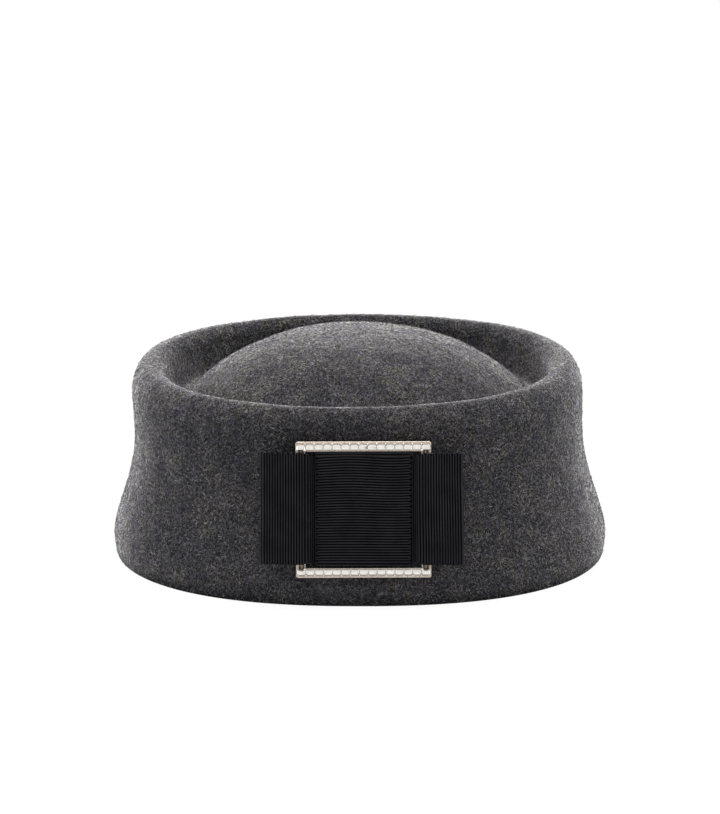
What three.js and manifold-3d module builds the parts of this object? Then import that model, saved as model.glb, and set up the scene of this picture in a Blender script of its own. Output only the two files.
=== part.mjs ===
// A grey felt pillbox hat with a telescope crown. A flat ribbon bow on a square buckle trims its front.
// Millimetres, +Z up. The hat stands on z = 0, its front faces -Y and its longer side runs along Y.
import * as THREE from "three";
import { mergeVertices } from "three/addons/utils/BufferGeometryUtils.js";
import Module from "manifold-3d";

const wasm = await Module();
wasm.setup();

// Driving sizes of the felt
const FELT_THICKNESS = 2.5;
const EXTRA_HALF_LENGTH = 15; // half of the length of the oval is this much more than half of its width
const SHOULDER_HEIGHT = 56.6;
const RIM_HEIGHT = 69.4;
const ROLL_WIDTH = 7.8; // from the shoulder in to the crest of the rim
const ROLL_FULLNESS = 2.54; // 2 is an ellipse, more is squarer
const LIP = 4; // the inner edge of the rim turns down with this radius
const MOAT_HALF_WIDTH = 66;
const MOAT_HEIGHT = 54.3;
const MOAT_ROUNDING = 2.4; // across the soft corner between the floor of the moat and the foot of the dome
const MOAT_FLOOR_LIFT = 0.4; // the soft corner keeps the floor this much above the sharp one
const DOME_HEIGHT = 79.5;
const DOME_FULLNESS = 2.76;

// Squareness of the oval seen from above: 2 is an ellipse, more is squarer
const BASE_SQUARENESS = 2.34;
const RIM_SQUARENESS = 2.19;
const DOME_SQUARENESS = 2;

// The blocked felt is a little lopsided: its rim sits to one side and rises on the other
const RIM_SHIFT = -1.4;
const RIM_SHIFT_POWER = 2; // the shift grows with this power of the height
const RIM_SLOPE = 0.0076;

// Outside of the wall: half of the hat's width at each height above the table
const WALL = [
  { height: 0, halfWidth: 91.3 },
  { height: 7, halfWidth: 91.9 },
  { height: 15, halfWidth: 89.7 },
  { height: 25, halfWidth: 86.6 },
  { height: 36, halfWidth: 84.2 },
  { height: 47, halfWidth: 83.7 },
  { height: SHOULDER_HEIGHT, halfWidth: 84.1 },
];

// Driving sizes of the bow: across is along the front, up is along the leaning plane of the buckle
const BOW_ACROSS = 1.25; // the bow sits this far off the middle of the front
const BUCKLE_SIDE = 48.45;
const BUCKLE_BAR = 3.45;
const BUCKLE_DEPTH = 2.8;
const BUCKLE_CORNER = 0.8;
const BUCKLE_LOW = 10.4; // height of the buckle's lower edge above the table
const RIBBON = 1;
const LOOP_HEIGHT = 39.5;
const BAND_WIDTH = 34.1;
const GAP = 0.3; // clearance between touching pieces
const GATHER = 0.7; // the band gathers the edges of the loops by this much

// Layers of the bow, outwards from the felt
const BACK_OF_BARS = RIBBON + GAP;
const FRONT_OF_BARS = BACK_OF_BARS + BUCKLE_DEPTH;
const OVER_BARS = FRONT_OF_BARS + GAP + RIBBON / 2;
const WAIST = BACK_OF_BARS + RIBBON;

// How far the middle line of the ribbon reaches at the fold of each loop
const LEFT_REACH = 36.2;
const RIGHT_REACH = 35.2;

// Middle line of the ribbon from the waist of the bow round one loop and back to the waist
const loopRows = (reach) => [
  { name: "waist front", across: 0, out: WAIST + RIBBON / 2 },
  { name: "edge of band", across: 17.9, out: WAIST + RIBBON / 2, rounding: 1 },
  { name: "onto bar", across: 20.1, out: OVER_BARS, rounding: 1 },
  { name: "off bar", across: 25.2, out: OVER_BARS, rounding: 4 },
  { name: "front of fold", across: reach, out: 2.9, rounding: 1.2 },
  { name: "back of fold", across: reach, out: RIBBON / 2, rounding: 1.2 },
  { name: "behind bar", across: 19.9, out: RIBBON / 2, rounding: 0.8 },
  { name: "back of band", across: 18.4, out: WAIST - RIBBON / 2, rounding: 0.8 },
  { name: "waist back", across: 0, out: WAIST - RIBBON / 2 },
];
const HOLLOW_START = 18.4; // the two layers of a loop part here
const BAND_FOLD = 0.4; // inner radius of the band where it turns over the edges of the loops

// How finely the surfaces are divided
const SECTORS = 64;
const WALL_STEPS = 9;
const ROLL_STEPS = 7;
const LIP_STEPS = 4;
const MOAT_STEPS = 3;
const DOME_STEPS = 8;
const ROUNDING_STEPS = 4;
const CORNER_STEPS = 4;
const MERGE_DISTANCE = 1e-4;

// Felt profile: half width against height, from the bottom edge to the top of the dome
function wallPoints() {
  const rows = WALL.map((row) => new THREE.Vector2(row.halfWidth, row.height));
  return new THREE.SplineCurve(rows).getPoints(WALL_STEPS);
}

function rollPoints() {
  const shoulder = WALL.at(-1).halfWidth;
  const power = 2 / ROLL_FULLNESS;
  return steps(ROLL_STEPS).map((u) => {
    const angle = (u * Math.PI) / 2;
    const inward = ROLL_WIDTH * (1 - Math.cos(angle) ** power);
    const up = (RIM_HEIGHT - SHOULDER_HEIGHT) * Math.sin(angle) ** power;
    return new THREE.Vector2(shoulder - inward, SHOULDER_HEIGHT + up);
  });
}

function lipPoints() {
  const crest = WALL.at(-1).halfWidth - ROLL_WIDTH;
  return steps(LIP_STEPS).map((u) => {
    const angle = (u * Math.PI) / 2;
    const down = LIP * (1 - Math.cos(angle));
    return new THREE.Vector2(crest - LIP * Math.sin(angle), RIM_HEIGHT - down);
  });
}

function domePoint(u) {
  const rise = (DOME_HEIGHT - MOAT_HEIGHT) * (1 - u ** DOME_FULLNESS);
  return new THREE.Vector2(MOAT_HALF_WIDTH * u, MOAT_HEIGHT + rise);
}

// The moat runs down from the lip, turns level at its floor and meets the dome in a soft corner
function moatPoints() {
  const lipEnd = lipPoints().at(-1);
  const footShare = 1 - MOAT_ROUNDING / MOAT_HALF_WIDTH;
  const foot = domePoint(footShare);
  const slope =
    (DOME_FULLNESS * (DOME_HEIGHT - MOAT_HEIGHT) * footShare ** (DOME_FULLNESS - 1)) / MOAT_HALF_WIDTH;
  const floor = new THREE.Vector2(
    MOAT_HALF_WIDTH + MOAT_ROUNDING / 2,
    MOAT_HEIGHT + MOAT_FLOOR_LIFT,
  );
  const wallSide = new THREE.CubicBezierCurve(
    lipEnd,
    new THREE.Vector2(lipEnd.x, lipEnd.y - LIP / 2),
    new THREE.Vector2(floor.x + LIP, floor.y),
    floor,
  );
  const domeSide = new THREE.CubicBezierCurve(
    floor,
    new THREE.Vector2(floor.x - MOAT_ROUNDING / 2, floor.y),
    new THREE.Vector2(foot.x + MOAT_ROUNDING / 2, foot.y - (slope * MOAT_ROUNDING) / 2),
    foot,
  );
  const down = wallSide.getPoints(MOAT_STEPS).slice(1);
  return [...down, ...domeSide.getPoints(MOAT_STEPS).slice(1)];
}

function domePoints() {
  const footShare = 1 - MOAT_ROUNDING / MOAT_HALF_WIDTH;
  return steps(DOME_STEPS).map((u) => domePoint(footShare * (1 - u)));
}

function steps(count) {
  return Array.from({ length: count }, (_, i) => (i + 1) / count);
}

// Moves each point of an open line sideways, to its right when positive
function offsetLine(points, distance) {
  return points.map((point, i) => {
    const before = points[Math.max(i - 1, 0)];
    const after = points[Math.min(i + 1, points.length - 1)];
    const along = after.clone().sub(before).normalize();
    return new THREE.Vector2(point.x + along.y * distance, point.y - along.x * distance);
  });
}

// One ring of the felt. As moatShare goes from 0 to 1 the oval of the wall turns into that of the dome
function feltRing(halfWidth, height, moatShare) {
  const share = Math.min(1, height / RIM_HEIGHT);
  const wallSquareness = THREE.MathUtils.lerp(BASE_SQUARENESS, RIM_SQUARENESS, share);
  const n = THREE.MathUtils.lerp(wallSquareness, DOME_SQUARENESS, moatShare);
  const domeStretch = (MOAT_HALF_WIDTH + EXTRA_HALF_LENGTH) / MOAT_HALF_WIDTH;
  const wallLength = halfWidth + EXTRA_HALF_LENGTH;
  const halfLength = THREE.MathUtils.lerp(wallLength, halfWidth * domeStretch, moatShare);
  return Array.from({ length: SECTORS }, (_, i) => {
    const angle = (2 * Math.PI * i) / SECTORS;
    const across = Math.abs(Math.cos(angle)) / halfWidth;
    const along = Math.abs(Math.sin(angle)) / halfLength;
    const radius = (across ** n + along ** n) ** (-1 / n);
    const x = radius * Math.cos(angle);
    const shift = RIM_SHIFT * share ** RIM_SHIFT_POWER;
    const lift = share * RIM_SLOPE * x;
    return new THREE.Vector3(x + shift, radius * Math.sin(angle), height + lift);
  });
}

function topOfDome(height) {
  return new THREE.Vector3(RIM_SHIFT, 0, height);
}

// Skins a list of rings, with a point at each end, as one closed mesh facing out
function skinRings(firstPoint, rings, lastPoint) {
  const positions = [firstPoint, ...rings.flat(), lastPoint].flatMap((p) => p.toArray());
  const indices = [];
  const at = (ring, i) => 1 + ring * SECTORS + (i % SECTORS);
  const last = 1 + rings.length * SECTORS;
  for (let i = 0; i < SECTORS; i++) {
    indices.push(0, at(0, i), at(0, i + 1));
    for (let ring = 0; ring + 1 < rings.length; ring++) {
      indices.push(at(ring, i), at(ring + 1, i), at(ring + 1, i + 1));
      indices.push(at(ring, i), at(ring + 1, i + 1), at(ring, i + 1));
    }
    indices.push(last, at(rings.length - 1, i + 1), at(rings.length - 1, i));
  }
  const geometry = new THREE.BufferGeometry();
  geometry.setAttribute("position", new THREE.Float32BufferAttribute(positions, 3));
  geometry.setIndex(indices);
  return geometry;
}

// The felt is one blocked piece: an outer skin, the flat cut edge that it stands on, and an inner skin
function feltGeometry() {
  const toLip = [...wallPoints(), ...rollPoints(), ...lipPoints()];
  const outer = [...toLip, ...moatPoints(), ...domePoints()];
  const inner = offsetLine(outer, -FELT_THICKNESS);
  inner[0].set(outer[0].x - FELT_THICKNESS, 0);
  const rings = (line) =>
    line.slice(0, -1).map((point, i) => {
      const moatShare = THREE.MathUtils.clamp((i + 1 - toLip.length) / (2 * MOAT_STEPS), 0, 1);
      return feltRing(point.x, point.y, moatShare);
    });
  const top = topOfDome(DOME_HEIGHT);
  const underTop = topOfDome(DOME_HEIGHT - FELT_THICKNESS);
  return skinRings(top, [...rings(outer).reverse(), ...rings(inner)], underTop);
}

// A closed outline pulled straight through a thickness, centred on the origin of that direction
function extrude(points, holes, thickness) {
  const outline = THREE.ShapeUtils.isClockWise(points) ? points.toReversed() : points;
  const shape = new THREE.Shape(outline);
  shape.holes = holes.map((hole) => new THREE.Path(hole));
  const geometry = new THREE.ExtrudeGeometry(shape, { depth: thickness, bevelEnabled: false });
  return geometry.translate(0, 0, -thickness / 2);
}

function solidFrom(geometry) {
  const bare = new THREE.BufferGeometry();
  bare.setAttribute("position", geometry.getAttribute("position"));
  if (geometry.index) bare.setIndex(geometry.index);
  const merged = mergeVertices(bare, MERGE_DISTANCE);
  return new wasm.Manifold(
    new wasm.Mesh({
      numProp: 3,
      vertProperties: merged.getAttribute("position").array,
      triVerts: new Uint32Array(merged.index.array),
    }),
  );
}

function geometryFrom(solid) {
  const mesh = solid.getMesh();
  const geometry = new THREE.BufferGeometry();
  geometry.setAttribute("position", new THREE.BufferAttribute(mesh.vertProperties, 3));
  geometry.setIndex(new THREE.BufferAttribute(mesh.triVerts, 1));
  return geometry;
}

// Straight runs between the rows of a table, each corner rounded over its own length
function roundedLine(rows) {
  const corners = rows.map((row) => new THREE.Vector2(row.across, row.out));
  const path = new THREE.Path().moveTo(corners[0].x, corners[0].y);
  for (let i = 1; i + 1 < rows.length; i++) {
    const corner = corners[i];
    const start = corners[i - 1].clone().sub(corner).setLength(rows[i].rounding).add(corner);
    const end = corners[i + 1].clone().sub(corner).setLength(rows[i].rounding).add(corner);
    path.lineTo(start.x, start.y);
    path.quadraticCurveTo(corner.x, corner.y, end.x, end.y);
  }
  path.lineTo(corners.at(-1).x, corners.at(-1).y);
  return path.getPoints(ROUNDING_STEPS);
}

// The bow's ribbon: two flat loops from one length of ribbon, joined at the waist under the band
function loopsGeometry() {
  const right = roundedLine(loopRows(RIGHT_REACH));
  const left = roundedLine(loopRows(LEFT_REACH));
  const mirrored = (points) => points.map((p) => new THREE.Vector2(-p.x, p.y)).reverse();
  const outside = (line) => offsetLine(line, -RIBBON / 2);
  const hollow = (line) => offsetLine(line, RIBBON / 2).filter((p) => p.x > HOLLOW_START);
  const outline = [...outside(right), ...mirrored(outside(left)).slice(1, -1)];
  const ribbon = extrude(outline, [hollow(right), mirrored(hollow(left))], LOOP_HEIGHT);
  return geometryFrom(gathered(solidFrom(ribbon.rotateX(Math.PI / 2))));
}

// Under the band the edges of the loops are drawn in
function gathered(loops) {
  const cutDepth = 2 * BUCKLE_DEPTH;
  const width = BAND_WIDTH + 2 * GAP;
  return [-1, 1].reduce((solid, side) => {
    const cutter = new THREE.BoxGeometry(width, 2 * GATHER, cutDepth);
    cutter.translate(0, (side * LOOP_HEIGHT) / 2, WAIST);
    return solid.subtract(solidFrom(cutter));
  }, loops);
}

// A rectangle with round corners, counter-clockwise
function roundedRectangle(width, height, radius) {
  const points = [];
  for (let corner = 0; corner < 4; corner++) {
    const signX = corner === 0 || corner === 3 ? 1 : -1;
    const signY = corner < 2 ? 1 : -1;
    for (let i = 0; i <= CORNER_STEPS; i++) {
      const angle = ((corner + i / CORNER_STEPS) * Math.PI) / 2;
      const x = signX * (width / 2 - radius) + radius * Math.cos(angle);
      const y = signY * (height / 2 - radius) + radius * Math.sin(angle);
      points.push(new THREE.Vector2(x, y));
    }
  }
  return points;
}

// The band: a short ribbon wrapped once round the waist of the bow
function bandGeometry() {
  const innerHeight = LOOP_HEIGHT - 2 * GATHER + 2 * GAP;
  const innerDepth = 2 * RIBBON + 2 * GAP;
  const outerHeight = innerHeight + 2 * RIBBON;
  const outerDepth = innerDepth + 2 * RIBBON;
  const outer = roundedRectangle(outerHeight, outerDepth, BAND_FOLD + RIBBON);
  const inner = roundedRectangle(innerHeight, innerDepth, BAND_FOLD);
  const geometry = extrude(outer, [inner], BAND_WIDTH);
  const basis = new THREE.Matrix4().makeBasis(
    new THREE.Vector3(0, 1, 0),
    new THREE.Vector3(0, 0, 1),
    new THREE.Vector3(1, 0, 0),
  );
  return geometry.applyMatrix4(basis).translate(0, 0, WAIST);
}

// The buckle: a flat square frame whose side bars run inside the loops
function buckleGeometry() {
  const outer = roundedRectangle(BUCKLE_SIDE, BUCKLE_SIDE, BUCKLE_CORNER);
  const opening = BUCKLE_SIDE - 2 * BUCKLE_BAR;
  const inner = roundedRectangle(opening, opening, BUCKLE_CORNER / 2);
  const geometry = extrude(outer, [inner], BUCKLE_DEPTH);
  return geometry.translate(0, 0, BACK_OF_BARS + BUCKLE_DEPTH / 2);
}

// The front of the wall at a height, found on the same line as the profile
function frontOfWall(height) {
  const line = wallPoints();
  const i = line.findIndex((point) => point.y >= height);
  if (i < 1) return -(line.at(-1).x + EXTRA_HALF_LENGTH);
  const share = (height - line[i - 1].y) / (line[i].y - line[i - 1].y);
  return -(THREE.MathUtils.lerp(line[i - 1].x, line[i].x, share) + EXTRA_HALF_LENGTH);
}

// The bow leans back across the waist of the hat and stands on the wall at the two ends of the buckle
function bowPlacement() {
  const high = BUCKLE_LOW + BUCKLE_SIDE;
  const low = new THREE.Vector2(frontOfWall(BUCKLE_LOW), BUCKLE_LOW);
  const top = new THREE.Vector2(frontOfWall(high), high);
  const lean = Math.atan2(top.x - low.x, top.y - low.y);
  const middle = low.clone().add(top).divideScalar(2);
  return { lean, y: middle.x + GAP, z: middle.y };
}

// Colours and finishes: charcoal wool, black grosgrain and bright plating
const FINISH = {
  felt: { color: 0x4a4b4d, roughness: 0.95, metalness: 0 },
  ribbon: { color: 0x15161b, roughness: 0.8, metalness: 0 },
  metal: { color: 0xd9dadc, roughness: 0.25, metalness: 1 },
};

function namedMesh(name, geometry, finish) {
  const mesh = new THREE.Mesh(geometry, new THREE.MeshStandardMaterial(finish));
  mesh.name = name;
  return mesh;
}

const felt = namedMesh("felt_body", feltGeometry(), FINISH.felt);
const bow = new THREE.Group();
bow.add(
  namedMesh("bow_loops", loopsGeometry(), FINISH.ribbon),
  namedMesh("bow_band", bandGeometry(), FINISH.ribbon),
  namedMesh("buckle_frame", buckleGeometry(), FINISH.metal),
);
const placement = bowPlacement();
bow.position.set(BOW_ACROSS, placement.y, placement.z);
bow.rotation.x = Math.PI / 2 - placement.lean;

// The origin is midway between the back of the hat and the front of the bow
const hat = new THREE.Group();
hat.add(felt, bow);
const box = new THREE.Box3().setFromObject(hat, true);
hat.position.y = -(box.min.y + box.max.y) / 2;

export default hat;
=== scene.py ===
# A grey felt pillbox hat with a telescope crown, a flat grosgrain bow and a square stone-set buckle.
# Lengths are millimetres in the tables below and become metres where a mesh is made.
import math

import bmesh
import bpy
import numpy as np
from mathutils import Matrix, Vector


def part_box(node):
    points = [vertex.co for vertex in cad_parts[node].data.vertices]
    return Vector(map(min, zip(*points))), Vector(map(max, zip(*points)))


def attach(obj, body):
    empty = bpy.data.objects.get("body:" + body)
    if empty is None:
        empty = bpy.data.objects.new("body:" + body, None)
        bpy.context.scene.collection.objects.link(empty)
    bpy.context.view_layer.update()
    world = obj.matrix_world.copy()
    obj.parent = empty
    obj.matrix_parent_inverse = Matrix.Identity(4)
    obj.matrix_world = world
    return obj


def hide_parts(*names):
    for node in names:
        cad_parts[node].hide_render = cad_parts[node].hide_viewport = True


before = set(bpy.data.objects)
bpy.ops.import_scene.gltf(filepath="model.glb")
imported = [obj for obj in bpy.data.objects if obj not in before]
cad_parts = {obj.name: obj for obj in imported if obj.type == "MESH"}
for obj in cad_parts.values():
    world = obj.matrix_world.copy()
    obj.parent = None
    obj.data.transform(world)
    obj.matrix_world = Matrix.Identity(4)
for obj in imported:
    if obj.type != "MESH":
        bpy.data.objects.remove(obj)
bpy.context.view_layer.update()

MM = 0.001
BAKE_MAP = "OFBake"

# Camera: it looks along +Y, a little down, through a long lens
CAMERA_AIM = Vector((0.0, 0.0018, 0.051))
CAMERA_ELEVATION = 11.43
CAMERA_DISTANCE = 1.9
CAMERA_LENS = 224.0
CAMERA_SENSOR = 36.0
CAMERA_CLIP = (0.05, 50.0)

# Stage
FLOOR_HALF_SIDE = 6000.0
FLOOR_GLOW = 0.93
WORLD_LIGHT = 0.03

# Lights: name, azimuth (0 is the front, 90 the right), elevation, strength, spread, colour
NEUTRAL = (1.0, 1.0, 1.0)
WARM = (1.0, 0.995, 0.95)
LIGHTS = (
    ("light_front", 0, 12, 0.33, 40, NEUTRAL),
    ("light_front_top", 0, 60, 0.3, 40, WARM),
    ("light_top", 180, 75, 2.65, 30, WARM),
    ("light_left_top", -90, 65, 1.4, 30, WARM),
    ("light_right_top", 90, 65, 0.65, 30, WARM),
    ("light_right_high", 97, 35, 0.6, 30, WARM),
    ("light_left_low", -95, 10, 1.5, 30, NEUTRAL),
    ("light_right_low", 95, 10, 1.15, 30, NEUTRAL),
    ("light_left_back", -120, 10, 1.8, 30, WARM),
    ("light_right_back", 120, 10, 1.6, 30, WARM),
)

# Felt
FELT_THICKNESS = 2.5
EXTRA_HALF_LENGTH = 15.0  # half of the oval's length is this much more than half of its width
SHOULDER_HEIGHT = 56.6
RIM_HEIGHT = 69.4
ROLL_WIDTH = 7.8
ROLL_FULLNESS = 2.54
LIP = 5.0
MOAT_RUN = 3.0
MOAT_HALF_WIDTH = 66.0
MOAT_HEIGHT = 54.3
MOAT_ROUNDING = 2.4
MOAT_FLOOR_LIFT = 0.4
DOME_HEIGHT = 79.5
DOME_FULLNESS = 2.76
BASE_SQUARENESS = 2.34
RIM_SQUARENESS = 2.19
DOME_SQUARENESS = 2.0
RIM_SHIFT = -1.4
RIM_SHIFT_POWER = 2  # the shift grows with this power of the height
RIM_SLOPE = 0.0076
WALL_HEIGHTS = (0.0, 7.0, 15.0, 25.0, 36.0, 47.0, SHOULDER_HEIGHT)
WALL_HALF_WIDTHS = (91.3, 91.9, 89.7, 86.6, 84.2, 83.7, 84.1)

# Divisions of the felt
SECTORS = 352
WALL_STEPS = 66
ROLL_STEPS = 26
LIP_STEPS = 12
MOAT_STEPS = 14
DOME_STEPS = 56
INNER_STRIDE = 3  # the inner skin keeps one ring of the outer skin in this many

# Random heights: sums of this many waves, whose lengths vary by these factors
RIPPLE_WAVES = 7
RIPPLE_LENGTHS = (0.7, 1.5)
RIPPLE_PEAK = 1.6

# Soft unevenness of the felt: height, wavelength and seed of each part. It fades out towards the cut edge.
FELT_RIPPLES = ((0.22, 46, 3), (0.1, 13, 4), (0.05, 4.5, 5))
RIPPLE_FADE = 6.0

# Share of the map's height and start of each part: outer skin, inner skin, cut edge
FELT_MAPS = ((0.62, 0.0), (0.34, 0.64), (0.01, 0.985))

# Loose wool
FIBRE_PIECES = 3
FIBRES = 30000  # in each piece
FIBRE_SEED = 11
FIBRE_LENGTH = 1.5
FIBRE_SPREAD = 0.4
FIBRE_LIMITS = (0.5, 3.6)
FIBRE_WIDTHS = (0.035, 0.075)
FIBRE_BEND = 0.16
PALE_FROM = 0.75  # fibres paler than this are thicker
PALE_WIDENING = 1.7
LOOSE_SHARE = 0.12
LOOSE_LIFTS = (0.15, 0.6)
LYING_LIFTS = (0.0, 0.14)
ROOT_HEIGHT = -0.04
MIDDLE_HEIGHT = 0.03
MIDDLE_LIFT = 0.45  # share of its lift that the middle of a fibre has
TIP_DROP = 0.03
PATCH_SHARE = 0.15  # share of a fibre's shade that it has in common with those round it
PATCH_LENGTH = 14
PATCH_SEED = 50

# Wool in the felt's material. Each noise has its features a millimetre, its detail and its roughness.
QUARTER = math.pi / 4
TUFT_TURNS = (
    (0, QUARTER, 0),
    (0, -QUARTER, 0),
    (QUARTER, 0, 0),
    (-QUARTER, 0, 0),
    (2 * QUARTER, QUARTER, 0),
    (2 * QUARTER, -QUARTER, 0),
)
WOOL_GRAIN = (1, 0.6, 1)  # the tufts are drawn out from front to back
CURL_REACH = 3.2  # the pale tufts are pushed about by this much
CURL_SCALE = 0.33
PALE_TUFT = (2.3, 2.3, 0.5)  # features a millimetre across a tuft, through it and along it
PALE_CUT = 0.60  # the noise shows as tufts above this level
PALE_CUT_STEP = 0.015
DIM_TUFT = (3.1, 3.1, 0.8)
DIM_CUT = 0.56
CUT_SOFTNESS = 0.08
MOTTLE = (0.13, 3.0, 0.55)
CLOUD = (0.04, 2.0, 0.5)
SPECKLE = (2.4, 2.0, 0.75)
HUE = (0.34, 3.0, 0.6)
GLINT = (0.9, 1.0, 0.5)
SOFTENING = 0.75  # power that evens out the colour of the sheen and of the painted sheen on wool seen edge on
EDGE_ON_PAINTED_SHEEN = 5.4  # painted sheen in the base colour: brightness of loose wool seen edge on, where many layers of it lie behind each other
EDGE_ON_PAINTED_SHEEN_NARROWNESS = 7.0
SHEEN = 6.4
# Painted shade: the felt is darker towards its bottom edge, up to this height
PAINTED_EDGE_SHADE_HEIGHT = 4.5
PAINTED_EDGE_SHADE = 0.25  # painted shade: share of its brightness that the felt keeps at its bottom edge, where it stands on the floor

# Colours of ramps, each with its place on the ramp
FELT_GROUND = (
    (0.38, (0.0016, 0.0015, 0.0022)),
    (0.50, (0.0054, 0.0053, 0.0064)),
    (0.61, (0.0185, 0.0180, 0.0198)),
)
PALE_TINTS = (
    (0.38, (0.161, 0.155, 0.175)),
    (0.50, (0.163, 0.159, 0.165)),
    (0.62, (0.169, 0.163, 0.149)),
)
DIM_TINTS = (
    (0.38, (0.0272, 0.0262, 0.0310)),
    (0.50, (0.0277, 0.0271, 0.0290)),
    (0.62, (0.0293, 0.0286, 0.0268)),
)
FELT_WASH = (
    (0.40, (0.835, 0.828, 0.93)),
    (0.50, (0.975, 0.966, 1.025)),
    (0.60, (1.095, 1.066, 1.05)),
)
FIBRE_COLOURS = (
    (0.00, (0.010, 0.0098, 0.011)),
    (0.38, (0.020, 0.0196, 0.022)),
    (0.56, (0.044, 0.042, 0.052)),
    (0.70, (0.090, 0.085, 0.068)),
    (0.85, (0.190, 0.186, 0.186)),
    (1.00, (0.40, 0.39, 0.37)),
)
# Grosgrain: colours of the ribs, lighter along their crests as a painted highlight, and the painted shade of
# the valleys
RIB_COLOURS = ((0.35, (0.019, 0.019, 0.024)), (0.65, (0.041, 0.040, 0.046)))
VALLEY_PAINTED_SHADE = (0.0018, 0.0018, 0.0025, 1)
WEAR_COLOURS = ((0.35, (0.86,) * 3), (0.65, (1.06,) * 3))
CHANNEL_FLOOR_DARK_COLOUR = (0.34, 0.28, 0.22, 1)
STONE_COLOURS = ((0.35, (0.86, 0.845, 0.79)), (0.65, (0.98, 0.945, 0.90)))
FLOOR_COLOURS = ((0.3, (0.055,) * 3), (0.7, (0.065,) * 3))

# Plating: its colour in cool places and in warm ones
SATIN = ((0.60, 0.53, 0.46), (0.56, 0.47, 0.41))
BRIGHT = ((0.88, 0.84, 0.77), (0.86, 0.79, 0.72))

# Bow
BUCKLE_SIDE = 48.45
BUCKLE_BAR = 3.45
BUCKLE_DEPTH = 2.8
RIBBON = 1.0
GAP = 0.3
LOOP_HEIGHT = 40.0
BAND_WIDTH = 34.1
BARS_BACK = RIBBON + GAP
BARS_FRONT = BARS_BACK + BUCKLE_DEPTH
OVER_BARS = BARS_FRONT + GAP + RIBBON / 2
WAIST = BARS_BACK + RIBBON
LEFT_REACH = 36.2
RIGHT_REACH = 35.2
LOOP_LIFT = 0.4  # the loops sit this much above the middle of the buckle
BAND_LIFT = 0.2  # and the band this much
LOOP_SHEAR = 0.23  # the right fold leans by this much at its ends
LOOP_DROOP = 0.2  # the right fold hangs this much lower than the left
GATHER = 0.95  # the loops are drawn in by this much at each edge, under the band
GATHER_END = 21.5  # distance from the middle where that starts
GATHER_RUN = 3.5
LOOP_SWAY = 0.1  # the loops' ribs sway sideways by this much
SWAY_START = 0.6
SWAY_RUN = 2.0
SWAY_SEED = 31
DENT_DEPTH = 0.08  # soft dents in the loops
DENT_LENGTH = 17
DENT_SEED = 21
BUCKLE_TURN = math.radians(0.22)
BUCKLE_NARROWING = 0.9935  # width of the buckle as a share of its height
BAND_HALF_UP = LOOP_HEIGHT / 2 - 0.15
BAND_ROUNDING = 0.9
BAND_WAVE = 0.3
BAND_WAVE_START = 4.8
BAND_WAVE_LENGTH = 30
BAND_HOOK = 0.3  # the band's left edge bends by this much
BAND_HOOK_WIDTH = 1.3
BAND_END = 1.5
CORNER_STEPS = 10  # points on each rounded corner of the loops

# Grosgrain
RIB_PITCH = 0.97
RIB_HEIGHT = 0.26
SAMPLES_A_RIB = 6
CLOTH = 0.46  # thickness of the ribbon between its ribs
EDGE_ROUND = 0.25
SELVEDGE = 1.1  # width of the strip at each edge where the ribs join in pairs
LOOP_SCALLOP = 0.25
BAND_SCALLOP = 0.5
PAIRING = 0.16
PAIR_WIDTH = 0.13
RIB_SQUARENESS = 2.2
JOINED_RIBS = 0.9  # height of the ribs where they join
LOOP_ROWS = 17  # places across the ribbon between its edges
BAND_ROWS = 33
ROUND_STEPS = 4  # points on each round edge
EDGE_STEPS = (0.0, 0.25, 0.55, 0.9)  # distances of the next points from it
MIDDLE_START = 0.5
THINNEST = 0.06  # share of the ribbon's thickness at its very edge

# Share of the map's height and start of each part: both skins, both edges
RIBBON_MAPS = ((0.45, 0.0), (0.45, 0.47), (0.03, 0.93), (0.03, 0.965))

# Buckle
STONES_ON_A_SIDE = 15
STONES_BETWEEN = 12  # on each side bar, whose ends stay open between these and the corner stones
STONE_PITCH = BUCKLE_SIDE / STONES_ON_A_SIDE
OUTER_RAIL = 1.0
INNER_RAIL = 0.5
CORNER_RAIL = 0.3  # width left outside the corner stones
OPENING = BUCKLE_SIDE / 2 - BUCKLE_BAR
OPENING_ROUNDING = 0.45
ROUNDING_GROWTH = 0.35
CHANNEL_FLOOR = BARS_BACK + 0.8

# Stones
STONE_SEED = 8
STONE_LONG = STONE_PITCH - 0.12
STONE_CROSS = BUCKLE_BAR - OUTER_RAIL - INNER_RAIL - 0.06
STONE_MARGIN = 0.03
STONE_TILT = 0.03
STONE_CORNERS = 8
OUTER_CUT = 0.42
INNER_CUT = 0.16
APEX_PLACES = (-0.3, -0.1)
STONE_TOP = BARS_FRONT - 0.2

# Levels of a stone from its point up: share of its size and height out
STONE_LEVELS = (
    (0.12, CHANNEL_FLOOR + 0.1),
    (0.62, CHANNEL_FLOOR + 0.5),
    (1.0, BARS_FRONT - 0.68),
    (1.0, BARS_FRONT - 0.56),
    (0.84, BARS_FRONT - 0.32),
)
STONE_POINTS = len(STONE_LEVELS) * STONE_CORNERS + 1

# Claws: half sizes along the bar, across it and out, and how far they stand in from the rails' edges
OUTER_CLAW = (0.3, 0.5, 0.5)
INNER_CLAW = (0.22, 0.3, 0.36)
CORNER_CLAW = (0.5, 0.55, 0.55)
OUTER_CLAW_INSET = 0.1
INNER_CLAW_INSET = 0.08
CLAW_OUT = BARS_FRONT - 0.62

# Levels of a claw from its foot up: share of its width and height
CLAW_LEVELS = ((1.0, -0.6), (1.0, 0.0), (0.8, 0.6), (0.4, 0.92))
CLAW_SIDES = 8
CLAW_FOOT = -0.6

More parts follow.
